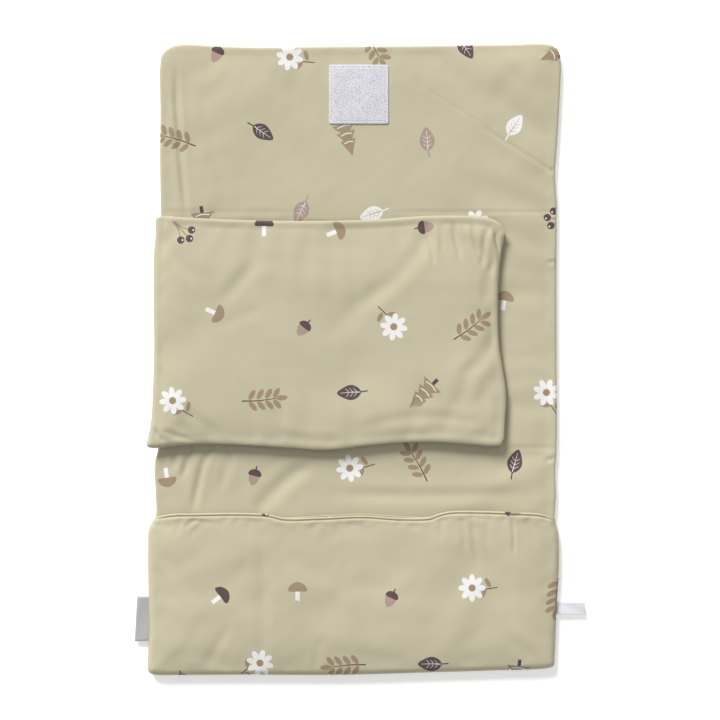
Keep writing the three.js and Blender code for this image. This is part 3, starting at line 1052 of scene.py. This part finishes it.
def pouch_wall(name, height, lap, pitch, rows, prints, fine, *nodes):
    """One wall of the pouch: the front where its seam laps above the middle, else the back."""
    flat = cut_cloth(pouch_sewn, pouch_mouth, EDGE_INSETS, pitch, rows, printed(prints), fine)
    cloth = tucked(lift(flat, height), pouch_sewn, lambda plan: pouch_seam(plan) + lap, phase=1)
    cloth = thickened(cloth if lap > 0 else flipped(cloth), CLOTH_THICKNESS)
    return placed(name, cloth, CLOTH, "fold_out_pouch", "cover_fabric", *nodes)


def hem_band(name, height, drop, node, width=7.2, rows=7):
    """The turned-in hem behind the mouth: a band that follows the wall's own height."""
    mouth = pouch_mouth[4:-3]
    lines = [np.column_stack([plan, height(plan) - drop])
             for plan in beside(mouth, 0.5 + width * np.linspace(0, 1, rows))]
    cloth = thickened(grid_cloth(lines), CLOTH_THICKNESS * 0.8)
    return placed(name, cloth, CLOTH, "fold_out_pouch", "cover_fabric", node)


mouth_rows = beside(pouch_mouth, (0.7, 1.6, 3.2, 5, 6.6, 7.6, 8.4, 9.4, 11))
pouch_front = pouch_wall(
    "pouch_front", pouch_front_height, 0.05, 3.2, mouth_rows, POUCH_PRINT, pouch_relief,
    "pouch_front_wall", "pouch_left_side", "pouch_right_side", "pouch_bottom_side")
pouch_back = pouch_wall(
    "pouch_back", pouch_back_height, -0.05, 4.5, (), scattered(43, -150, 110, -50, 110), (),
    "pouch_back_wall")
front_hem = hem_band("pouch_front_hem_band", pouch_front_height, 1.0, "pouch_front_hem")
back_hem = hem_band("pouch_back_hem_band", pouch_back_height, -0.85, "pouch_back_hem")


def hinge_strip():
    """The strip that joins the pad's left seam to the pouch's left seam."""
    levels = np.linspace(0, 1, 9)
    rows = []
    for y in np.linspace(-70, 118, 70):
        pad_x = np.interp(y, [-80, -40, 40, 120], [-182.2, -181.2, -180.6, -179.8]) + 0.4
        pouch_x = np.interp(y, [-77, -68, -54, -30, 8, 55, 96, 126],
                            [-191, -190, -187.4, -186, -184.8, -185.2, -185, -183.6]) + 1.4
        bulge = 1.1 * np.sin(levels * math.pi) + 0.25 * np.sin(levels * math.pi) * math.sin(y / 9)
        xs = pad_x + (pouch_x - pad_x) * levels - bulge
        zs = PAD_SEAM + 0.3 + (POUCH_SEAM - 0.6 - PAD_SEAM) * levels
        rows.append(np.column_stack([xs, np.full(len(xs), y), zs]))
    piece = make_piece("pouch_hinge_cloth", thickened(grid_cloth(rows), 0.9), CLOTH)
    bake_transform(piece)
    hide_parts("pouch_hinge_strip")
    return piece


hinge = hinge_strip()

# -------- the full-width pocket

POCKET_CROWN = POCKET_TOP - 0.6
pocket_mouth = spline(POCKET_MOUTH, 1.2)
POCKET_SEAM = PAD_SEAM + 0.1
pocket_relief = [
    Crease((-157, -150), (-146, -142), 2.0, 0.4),
    Crease((-152, -158), (-134, -145), 2.8, 0.25, 2),
    Crease((-166, -158), (-160, -144), 2.4, 0.3),
    Crease((-176, -176), (-150, -216), 6.0, 0.45, 3),
    Crease((72, -141), (73, -160), 2.6, 0.3),
    Crease((90.7, -141), (94, -168), 2.6, 0.4, 0.8),
    Crease((101, -141), (106, -182), 2.8, 0.5, -1.0),
    Crease((115, -141), (114, -162), 2.4, 0.25),
    Crease((136.3, -141), (138, -172), 1.8, 0.6, 0.6),
    Crease((150, -144), (158, -166), 3.0, 0.4),
    Crease((-182, -190), (-170, -216), 4.0, 0.5),
    Crease((-88, -158), (-87, -262), 5.0, 0.5, 1),
    Crease((-60, -160), (-20, -250), 13, 0.35, 6),
    Crease((-136, -270), (-118, -240), 4.0, 0.55),
    Crease((-40, -276), (-36, -252), 3.4, 0.5),
    Crease((90, -190), (60, -262), 13, 0.4, -5),
    Crease((-150, -262), (-110, -278), 6, 0.5),
    Crease((130, -250), (165, -268), 6, 0.45),
    Crease((-30, -262), (30, -272), 7, 0.45),
]
pocket_waves = [waves(81, 130, 45, 0.28), waves(82, 32, 14, 0.06)]
pocket_puckers = waves(83, 26, 10, 0.5, 12)
# The topstitching's pitch, and how far its groove lies from the mouth
STITCH_PITCH = 2.4
GROOVE = 2.5

pocket_rim = unbroken(pad_line[:-1], pad_line[:-1, 1] < -141.6)
pocket_rim = pocket_rim - left_of(pocket_rim) * 0.9
pocket_rim = np.vstack([pocket_mouth[-1:], pocket_rim, pocket_mouth[:1]])
pocket_folds = simulated_folds(np.vstack([pocket_rim[:-1], pocket_mouth]), 4.5, 0.02, 0.8, 84)


def pocket_height(plan):
    """The pocket's front: rolled down to the pad's seam, with a welt and groove along its mouth."""
    rim = nearest(plan, pocket_rim)[0]
    mouth, along = nearest(plan, pocket_mouth)
    relief = total(pocket_waves, plan) * smoothstep(rim / 20) * smoothstep(mouth / 12)
    relief += total(pocket_relief, plan) * smoothstep(rim / 6) * smoothstep((mouth - GROOVE) / 3)
    relief += pocket_puckers(plan) * bell((rim - 7) / 6) * 0.2
    relief += 0.55 * pocket_folds(plan) * smoothstep((mouth - GROOVE) / 5)
    relief += pocket_puckers(plan * 1.3) * bell((mouth - 7) / 4) * 0.35
    # The welt is a lip and a soft ridge with the stitched groove between them
    stitch = 1 + 0.25 * np.cos(2 * math.pi * along / STITCH_PITCH)
    welt = 0.15 * bell((mouth - 1.1) / 0.8) + 0.3 * bell((mouth - 4.6) / 1.7)
    welt -= 0.95 * stitch * bell((mouth - GROOVE) / 0.62)
    welt -= 0.7 * (1 - smoothstep(mouth / 0.9))
    middle = POCKET_CROWN - 0.5 * (1 - smoothstep(mouth / 26))
    height = POCKET_SEAM + (middle - POCKET_SEAM) * pillowed(rim, 0.55, 5.5, 42)
    return height + relief * roll(rim, 9) + welt * smoothstep(rim / 14)


pocket_rows = beside(
    pocket_mouth, (0.35, 0.75, 1.15, 1.55, 1.9, 2.2, 2.5, 2.8, 3.1, 3.5, 4, 4.6, 5.4, 6.5, 8, 10))
pocket_flat = cut_cloth(pocket_rim, pocket_mouth, EDGE_INSETS, 3.4, pocket_rows, printed(POCKET_PRINT),
                        pocket_relief)
pocket_cloth = tucked(lift(pocket_flat, pocket_height), pocket_rim, lambda plan: POCKET_SEAM, 1.5, phase=2)
pocket_front = placed(
    "pocket_front", thickened(pocket_cloth, CLOTH_THICKNESS), CLOTH, "bottom_flap", "cover_fabric",
    "pocket_front_wall", "pocket_welt", "pocket_left_edge", "pocket_right_edge", "pocket_bottom_edge")


def lining():
    """The pocket's inner layer; its edge shows behind the welt in the middle of the mouth."""
    shown = 1.9 * np.exp(-((pocket_mouth[:, 0] + 2) / 62) ** 4) - 0.4
    edge = pocket_mouth - left_of(pocket_mouth) * shown[:, None]
    edge = edge[12:-12]
    inner, = beside(pocket_rim, [6])
    inner = inner[(inner[:, 1] < -146) & (nearest(inner, pocket_rim)[0] > 5.4)]
    rim = np.vstack([edge[-1:], inner, edge[:1]])
    rows = beside(edge, (0.5, 1.2, 2.4, 4, 7))

    def height(plan):
        mouth = nearest(plan, edge)[0]
        lip = 0.45 * bell((mouth - 0.8) / 0.7) - 0.5 * (1 - smoothstep(mouth / 0.7))
        return pocket_height(plan) - 0.95 - 0.9 * smoothstep(mouth / 5) + lip

    cloth = thickened(lift(cut_cloth(rim, edge, (), 6, rows), height), 0.5)
    return placed("pocket_lining_layer", cloth, CLOTH, "bottom_flap", "cover_fabric", "pocket_lining")


pocket_inner = lining()


def stitch_row(plan, heights, length, width, lift_by, pitch=STITCH_PITCH):
    """Stitches laid end to end along a line, each dipping in at both ends."""
    line = np.column_stack([plan, heights])
    arc = np.concatenate([[0], np.cumsum(np.linalg.norm(np.diff(line, axis=0), axis=1))])
    share = np.linspace(-1, 1, 7)
    up = np.tile((0.0, 0.0, 1.0), (7, 1))
    radii = width / 2 * np.sqrt(np.maximum(1 - share ** 4, 0.02))
    stitches = []
    for index in range(int(arc[-1] / pitch)):
        places = (index + 0.5) * pitch + share * length / 2
        path = np.column_stack([np.interp(places, arc, column) for column in line.T])
        path[:, 2] += lift_by * (1 - share ** 2) - width * 0.25
        run = path[-1] - path[0]
        run /= np.linalg.norm(run)
        stitches.append(tube(path, np.tile(np.cross((0, 0, 1), run), (7, 1)), up, radii))
    return joined(*stitches)


welt_plan = (pocket_mouth + left_of(pocket_mouth) * GROOVE)[9:-9]
welt_stitches = stitch_row(welt_plan, pocket_height(welt_plan) + 0.2, 1.9, 0.5, 0.25)
welt_thread = placed("pocket_topstitch", welt_stitches, [THREAD], "bottom_flap", "thread")

# -------- closure patches

# How far the stitching lies inside a patch's edge
STITCH_INSET = 2.0


def square_line(box, inset, corner=1.5):
    """A square with small round corners, anticlockwise and closed."""
    left, down = box[0][:2] + inset
    right, top = box[1][:2] - inset
    points = []
    for x, y, start in ((left, down, 180), (right, down, 270), (right, top, 0), (left, top, 90)):
        cx = x + corner if x == left else x - corner
        cy = y + corner if y == down else y - corner
        for turn in (0, 30, 60, 90):
            a = math.radians(start + turn)
            points.append((cx + corner * math.cos(a), cy + corner * math.sin(a)))
    points.append(points[0])
    return spread(np.array(points), 1.0)


def tape_square(box, surface, side, thickness, seed):
    """A square of tape on a cover, as cloth and its height function: an uneven ground, lower at
    its stitching. side is 1 on an upper face and -1 on a lower one."""
    rim = square_line(box, 0.2)
    flat = cut_cloth(rim, None, (0.35, 0.8, 1.5), 0.9)
    pile = waves(seed, 2.4, 1.0, 0.03, 40)

    def height(plan):
        inward = nearest(plan, rim)[0]
        channel = -0.35 * bell((inward - STITCH_INSET) / 0.7)
        raised = thickness * roll(inward, 0.8) + (pile(plan) + channel) * smoothstep(inward / 1.6)
        return surface(plan) + side * raised

    def base(plan):
        return surface(plan) - side * 0.05

    top, under = lift(flat, height), lift(flat, base)
    return joined(top, flipped(under)) if side > 0 else joined(flipped(top), under), height


def fibres(box, height, side, count, seed, thick, arch):
    """Tiny arched loops all over a square of tape, or hooks where the arch stops short of closing."""
    random = np.random.default_rng(seed)
    low, high = box[0][:2], box[1][:2]
    places = random.uniform(low + 1.2, high - 1.2, (count, 2))
    inward = np.minimum(places - low, high - places).min(1)
    places = places[np.abs(inward - STITCH_INSET) > 0.5]
    turns = random.uniform(0, math.pi, len(places))
    sizes = random.uniform(0.6, 1.15, len(places)) * 0.42
    angles = np.linspace(0, math.pi * arch, 6)
    arcs = []
    for place, turn, size, level in zip(places, turns, sizes, height(places)):
        run = np.array([math.cos(turn), math.sin(turn), 0])
        up = np.array([0, 0, side])
        path = np.array([*place, level - side * 0.1]) + np.outer(-np.cos(angles) * size, run)
        path += np.outer(np.sin(angles) * size * 0.8, up)
        tangent = np.outer(np.sin(angles), run) + np.outer(np.cos(angles), up)
        across = np.tile(np.cross(run, up), (6, 1))
        arcs.append(tube(path, across, np.cross(across, tangent), np.full(6, thick), 3))
    return joined(*arcs)


def closure(node, fibre_name, surface, side, thickness, tape, body, seed, fibre, stitch):
    """A patch in three pieces: the tape, its loops or hooks, and the stitching round it."""
    box = node_box(node)
    slot = node.replace("patch", "tape")
    cloth, height = tape_square(box, surface, side, thickness, seed)
    placed(f"{node}_tape", cloth, [tape], body, slot, node)
    placed(f"{node}_{fibre_name}", fibres(box, height, side, *fibre), [tape], body, slot)
    seam = square_line(box, STITCH_INSET)
    placed(f"{node}_stitching", stitch_row(seam, height(seam), *stitch), [PALE_THREAD], body, "thread",
           f"{node}_thread")


def hook_ground(plan):
    """The cover's outside where the hook patch is sewn."""
    return np.full(len(plan), node_box("hook_patch")[1][2] - 0.1)


closure("loop_patch", "pile", pad_front_height, 1, 1.1, LOOP_TAPE, "top_flap", 91,
        fibre=(2400, 92, 0.07, 1), stitch=(1.45, 0.75, 0.4, 2.5))
closure("hook_patch", "hooks", hook_ground, -1, 0.7, HOOK_TAPE, "bottom_flap", 93,
        fibre=(1300, 94, 0.09, 0.72), stitch=(1.9, 0.5, -0.3))

# -------- labels


def folded_label(name, node, root, tip, low_y, high_y, skew, slant, curl, gap, thickness, material, slot):
    """A blank ribbon folded in half and caught in the seam: two layers and a round fold.

    skew spreads its end and slant pulls its lower corner out, curl lifts its end."""
    side = 1 if tip > root else -1
    reach = abs(tip - root)
    bend = gap / 2
    spans = np.linspace(0, reach - bend, 12)
    turns = np.linspace(math.pi / 2, -math.pi / 2, 9)[1:-1]
    upper = [(s, bend) for s in spans]
    fold = [(reach - bend + bend * math.cos(a), bend * math.sin(a)) for a in turns]
    lower = [(s, -bend) for s in spans[::-1]]
    profile = np.array(upper + fold + lower)
    out = profile[:, 0] / reach
    spread_out = 0.35 + 0.65 * smoothstep(out * 1.6)
    rows = []
    for share in np.linspace(0, 1, 22):
        droop = curl * out ** 2 * (1 + 0.5 * math.cos(share * math.pi)) + 0.25 * np.sin(out * 5 + share * 4)
        xs = root + side * profile[:, 0] * (1 + slant * (0.5 - share))
        ys = low_y + (high_y - low_y) * share + skew * out * (share - 0.5) * 2 - 0.5 * out
        rows.append(np.column_stack([xs, ys, PAD_SEAM + profile[:, 1] * spread_out + droop]))
    cloth = grid_cloth(rows)
    cloth = thickened(cloth if side < 0 else flipped(cloth), thickness)
    return placed(name, cloth, [material], "bottom_flap", slot, node)


WOVEN_LOW, WOVEN_HIGH = node_box("woven_label")
CARE_LOW, CARE_HIGH = node_box("care_label")
woven_label = folded_label(
    "woven_label_ribbon", "woven_label", WOVEN_HIGH[0] + 4, WOVEN_LOW[0] + 1.2, WOVEN_LOW[1] + 1.4,
    WOVEN_HIGH[1] - 0.6, 0.6, 0.16, -0.5, 1.5, 0.45, RIBBON, "woven_ribbon")
care_label = folded_label(
    "care_label_ribbon", "care_label", CARE_LOW[0] - 4, CARE_HIGH[0] - 0.4, CARE_LOW[1] + 0.2,
    CARE_HIGH[1] - 0.4, 0.2, 0, -0.25, 1.0, 0.3, SATIN, "satin_ribbon")

# -------- floor, light and camera


def studio_floor():
    """A wide pale floor just under the pad."""
    bpy.ops.mesh.primitive_plane_add(size=60, location=(0, 0, -0.0004))
    floor = bpy.context.object
    floor.name = "studio_floor"
    pale = Shading("studio_floor")
    set_inputs(pale.shader, Base_Color=(0.94, 0.94, 0.94, 1), Emission_Color=(1, 1, 1, 1),
               Emission_Strength=0.3, Roughness=0.9)
    floor.data.materials.append(pale.material)


def studio_light(name, place, softness, strength):
    """A sun that shines from a place to the origin, its disc so many degrees wide."""
    light = bpy.data.lights.new(name, "SUN")
    light.angle = math.radians(softness)
    light.energy = strength
    lamp = bpy.data.objects.new(name, light)
    lamp.location = place
    lamp.rotation_euler = (-Vector(place)).to_track_quat("-Z", "Y").to_euler()
    bpy.context.scene.collection.objects.link(lamp)


def studio_camera():
    """A camera straight above the pad."""
    camera = bpy.data.cameras.new("camera")
    camera.lens = 100
    camera.sensor_width = 36
    eye = bpy.data.objects.new("camera", camera)
    eye.location = (0, 0, 1.8 + POUCH_LOW[2] * MM)
    bpy.context.scene.collection.objects.link(eye)
    bpy.context.scene.camera = eye


studio_floor()
world = bpy.data.worlds.new("studio")
world.use_nodes = True
set_inputs(world.node_tree.nodes["Background"], Color=(1, 1, 1, 1), Strength=0.345)
bpy.context.scene.world = world
studio_light("key", (-1.35, 2.85, 1.95), 22, 4.1)
studio_light("overhead", (0.4, -0.3, 4.0), 90, 0.35)
studio_camera()
bpy.context.scene.view_settings.view_transform = "Standard"
